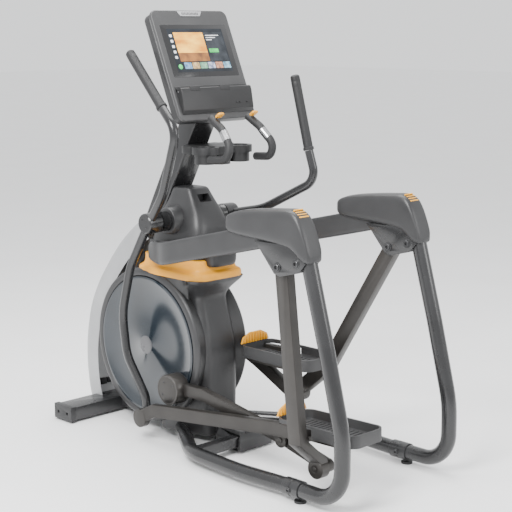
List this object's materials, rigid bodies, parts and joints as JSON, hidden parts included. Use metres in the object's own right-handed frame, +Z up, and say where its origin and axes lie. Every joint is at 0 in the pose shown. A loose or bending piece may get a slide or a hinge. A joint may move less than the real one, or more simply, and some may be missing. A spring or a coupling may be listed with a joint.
{
  "type": "elliptical trainer",
  "caption": "Suspension elliptical trainer with a centre drive housing, hanging rear rockers, pedals, moving hand levers and a screen console.",
  "frame": {"origin": "centre of the whole machine's box at floor level", "axes": "+X to the user's right, +Y from the rear tubes towards the housing's nose, +Z up"},
  "size_m": [0.738, 1.8574, 1.851],
  "materials": {
    "frame_black": "powder coat, satin",
    "cap_plastic": "fine texture",
    "bolt_steel": "plated",
    "cover_grey": "satin, fine texture",
    "silver_plastic": "satin metallic",
    "accent_orange": "satin",
    "belt_rubber": "matte",
    "coil_copper": "enamelled",
    "board_green": "lacquered",
    "screen_glass": "gloss",
    "iron": "machined",
    "disc_gloss": "gloss",
    "linkage_metal": "metallic paint, satin",
    "grip_rubber": "matte",
    "pedal_plastic": "moulded texture"
  },
  "bodies": {
    "frame": {"base_frame": "frame_black", "foot_end_caps": "cap_plastic", "coupling_sleeves": "frame_black", "lower_tube": "frame_black", "rear_tube_left": "frame_black", "rear_tube_right": "frame_black", "beam_left": "frame_black", "beam_right": "frame_black", "bracket_plates": "frame_black", "beam_cover_left": "cover_grey", "beam_cover_right": "cover_grey", "tower_post": "frame_black", "mast": "frame_black", "shroud_left": "cover_grey", "shroud_right": "cover_grey", "front_cover": "silver_plastic", "shoulder_cover": "cover_grey", "rear_pocket": "cap_plastic", "base_skirt": "cover_grey", "drive_belt": "belt_rubber", "brake_coil": "coil_copper", "control_board": "board_green", "power_inlet": "cap_plastic", "console_shell": "cover_grey", "console_face": "cover_grey", "screen_glass": "screen_glass", "tablet_shelf": "cap_plastic", "neck_bracket": "cap_plastic", "cup_tray": "cap_plastic", "fixed_grips": "frame_black", "frame_bolts": "bolt_steel", "crank_bearings": "bolt_steel", "accent_band": "accent_orange"},
    "crank": {"crank_axle": "bolt_steel", "crank_pulley": "iron", "crank_discs": "disc_gloss"},
    "flywheel": {"flywheel": "iron"},
    "rocker_left": {"rocker_left": "linkage_metal"},
    "link_left": {"crank_link_left": "linkage_metal"},
    "pedal_left": {"pedal_arm_left": "linkage_metal", "pedal_tray_left": "pedal_plastic", "toe_guard_left": "accent_orange"},
    "lever_left": {"hand_lever_left": "linkage_metal", "lever_grip_left": "grip_rubber"},
    "rocker_right": {"rocker_right": "linkage_metal"},
    "link_right": {"crank_link_right": "linkage_metal"},
    "pedal_right": {"pedal_arm_right": "linkage_metal", "pedal_tray_right": "pedal_plastic", "toe_guard_right": "accent_orange"},
    "lever_right": {"hand_lever_right": "linkage_metal", "lever_grip_right": "grip_rubber"},
    "thumb_left": {"thumb_switch_left": "accent_orange"},
    "thumb_right": {"thumb_switch_right": "accent_orange"},
    "switch": {"power_switch": "cap_plastic"},
    "foot_front_left": {"foot_front_left": "grip_rubber"},
    "foot_front_right": {"foot_front_right": "grip_rubber"},
    "foot_rear_left": {"foot_rear_left": "grip_rubber"},
    "foot_rear_right": {"foot_rear_right": "grip_rubber"},
    "wheel_left": {"wheel_left": "grip_rubber"},
    "wheel_right": {"wheel_right": "grip_rubber"}
  },
  "joints": [
    {"name": "crank_spin", "type": "hinge", "parent": "frame", "child": "crank", "pos_m": [0, 0.42, 0.391], "axis": [1, 0, 0], "continuous": true},
    {"name": "flywheel_spin", "type": "hinge", "parent": "frame", "child": "flywheel", "pos_m": [0, 0.27, 0.626], "axis": [1, 0, 0], "continuous": true},
    {"name": "stride", "type": "hinge", "parent": "frame", "child": "rocker_left", "pos_m": [-0.322, -0.598, 0.903], "axis": [1, 0, 0], "range_deg": [0, 38.22]},
    {"name": "link_left_turn", "type": "hinge", "parent": "rocker_left", "child": "link_left", "pos_m": [-0.22, -0.68822, 0.11112], "axis": [1, 0, 0], "range_deg": [-26.16, 0]},
    {"name": "pedal_left_turn", "type": "hinge", "parent": "link_left", "child": "pedal_left", "pos_m": [-0.2, -0.46711, 0.16783], "axis": [1, 0, 0], "range_deg": [-10.58, 0]},
    {"name": "lever_left_swing", "type": "hinge", "parent": "frame", "child": "lever_left", "pos_m": [-0.2, 0.284, 0.96], "axis": [1, 0, 0], "range_deg": [0, 35.71]},
    {"name": "rocker_right_swing", "type": "hinge", "parent": "frame", "child": "rocker_right", "pos_m": [0.322, -0.598, 0.903], "axis": [1, 0, 0], "range_deg": [-38.23, 0]},
    {"name": "link_right_turn", "type": "hinge", "parent": "rocker_right", "child": "link_right", "pos_m": [0.22, -0.17891, 0.22508], "axis": [1, 0, 0], "range_deg": [0, 26.16]},
    {"name": "pedal_right_turn", "type": "hinge", "parent": "link_right", "child": "pedal_right", "pos_m": [0.2, 0.02546, 0.32677], "axis": [1, 0, 0], "range_deg": [0, 10.58]},
    {"name": "lever_right_swing", "type": "hinge", "parent": "frame", "child": "lever_right", "pos_m": [0.2, 0.284, 0.96], "axis": [1, 0, 0], "range_deg": [-35.71, 0]},
    {"name": "thumb_left_press", "type": "slide", "parent": "frame", "child": "thumb_left", "axis": [0, -0.5736, -0.8192], "range_m": [0, 0.002]},
    {"name": "thumb_right_press", "type": "slide", "parent": "frame", "child": "thumb_right", "axis": [0, -0.5736, -0.8192], "range_m": [0, 0.002]},
    {"name": "power_switch_press", "type": "slide", "parent": "frame", "child": "switch", "axis": [0, -1, 0], "range_m": [0, 0.003]},
    {"name": "foot_front_left_screw", "type": "hinge", "parent": "frame", "child": "foot_front_left", "pos_m": [-0.286, 0.783, 0], "axis": [0, 0, 1], "range_deg": [-180, 180]},
    {"name": "foot_front_right_screw", "type": "hinge", "parent": "frame", "child": "foot_front_right", "pos_m": [0.286, 0.783, 0], "axis": [0, 0, 1], "range_deg": [-180, 180]},
    {"name": "foot_rear_left_screw", "type": "hinge", "parent": "frame", "child": "foot_rear_left", "pos_m": [-0.322, -0.688, 0], "axis": [0, 0, 1], "range_deg": [-180, 180]},
    {"name": "foot_rear_right_screw", "type": "hinge", "parent": "frame", "child": "foot_rear_right", "pos_m": [0.322, -0.688, 0], "axis": [0, 0, 1], "range_deg": [-180, 180]},
    {"name": "wheel_left_spin", "type": "hinge", "parent": "frame", "child": "wheel_left", "pos_m": [-0.291, 0.876, 0.031], "axis": [1, 0, 0], "continuous": true},
    {"name": "wheel_right_spin", "type": "hinge", "parent": "frame", "child": "wheel_right", "pos_m": [0.291, 0.876, 0.031], "axis": [1, 0, 0], "continuous": true}
  ],
  "couplings": [
    {"joint": "flywheel_spin", "follows": "crank_spin", "ratio": 6.25},
    {"joint": "link_left_turn", "follows": "stride", "ratio": -0.68423},
    {"joint": "pedal_left_turn", "follows": "stride", "ratio": -0.27671},
    {"joint": "lever_left_swing", "follows": "stride", "ratio": 0.93422},
    {"joint": "rocker_right_swing", "follows": "stride", "ratio": -1},
    {"joint": "link_right_turn", "follows": "stride", "ratio": 0.68423},
    {"joint": "pedal_right_turn", "follows": "stride", "ratio": 0.27671},
    {"joint": "lever_right_swing", "follows": "stride", "ratio": -0.93422}
  ]
}
